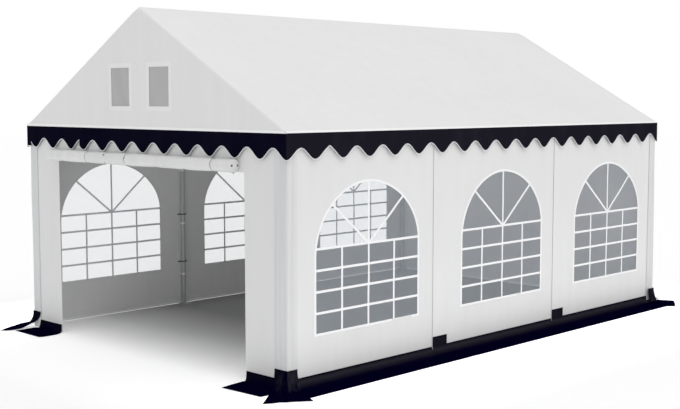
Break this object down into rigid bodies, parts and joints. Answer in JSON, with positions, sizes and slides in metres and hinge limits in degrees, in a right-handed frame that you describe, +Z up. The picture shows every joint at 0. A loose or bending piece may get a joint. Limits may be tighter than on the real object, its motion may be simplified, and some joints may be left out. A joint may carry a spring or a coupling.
{
  "type": "marquee tent",
  "caption": "Ridged marquee tent on a tube frame, with scalloped dark valances, arched window walls, a rolled-up front door and ground skirts.",
  "frame": {"origin": "on the ground at the middle of the footprint", "axes": "+Z up, the ridge along Y, the open front faces -Y, +X to the right when looking in from behind the front"},
  "size_m": [4.726, 6.77, 3.3],
  "materials": {
    "tube": "light grey powder coat",
    "white_cloth": "coated white cover cloth",
    "navy_cloth": "coated near-black navy cloth",
    "window_film": "clear flexible film",
    "vent_mesh": "fine grey mesh"
  },
  "bodies": {
    "root": {"back_wall": "white_cloth", "corner_cover_back_left": "white_cloth", "corner_cover_back_right": "white_cloth", "corner_cover_front_left": "white_cloth", "corner_cover_front_right": "white_cloth", "corner_skirt_back_left": "navy_cloth", "corner_skirt_back_right": "navy_cloth", "corner_skirt_front_left": "navy_cloth", "corner_skirt_front_right": "navy_cloth", "eave_rail_left": "tube", "eave_rail_right": "tube", "front_door": "white_cloth", "front_wall_left": "white_cloth", "front_wall_right": "white_cloth", "gable_back": "white_cloth", "gable_bar_back": "tube", "gable_bar_front": "tube", "gable_front": "white_cloth", "post_left_1": "tube", "post_left_2": "tube", "post_left_3": "tube", "post_left_4": "tube", "post_right_1": "tube", "post_right_2": "tube", "post_right_3": "tube", "post_right_4": "tube", "rafters_1": "tube", "rafters_2": "tube", "rafters_3": "tube", "rafters_4": "tube", "ridge_rail": "tube", "roof_left": "white_cloth", "roof_right": "white_cloth", "skirt_back": "navy_cloth", "skirt_front_left": "navy_cloth", "skirt_front_right": "navy_cloth", "skirt_left": "navy_cloth", "skirt_right": "navy_cloth", "valance_back": "navy_cloth", "valance_front": "navy_cloth", "valance_left": "navy_cloth", "valance_right": "navy_cloth", "vent_mesh_back": "vent_mesh", "vent_mesh_front": "vent_mesh", "wall_left_1": "white_cloth", "wall_left_2": "white_cloth", "wall_left_3": "white_cloth", "wall_right_1": "white_cloth", "wall_right_2": "white_cloth", "wall_right_3": "white_cloth", "window_left_1": "window_film", "window_left_2": "window_film", "window_left_3": "window_film", "window_right_1": "window_film", "window_right_2": "window_film", "window_right_3": "window_film"}
  },
  "joints": []
}
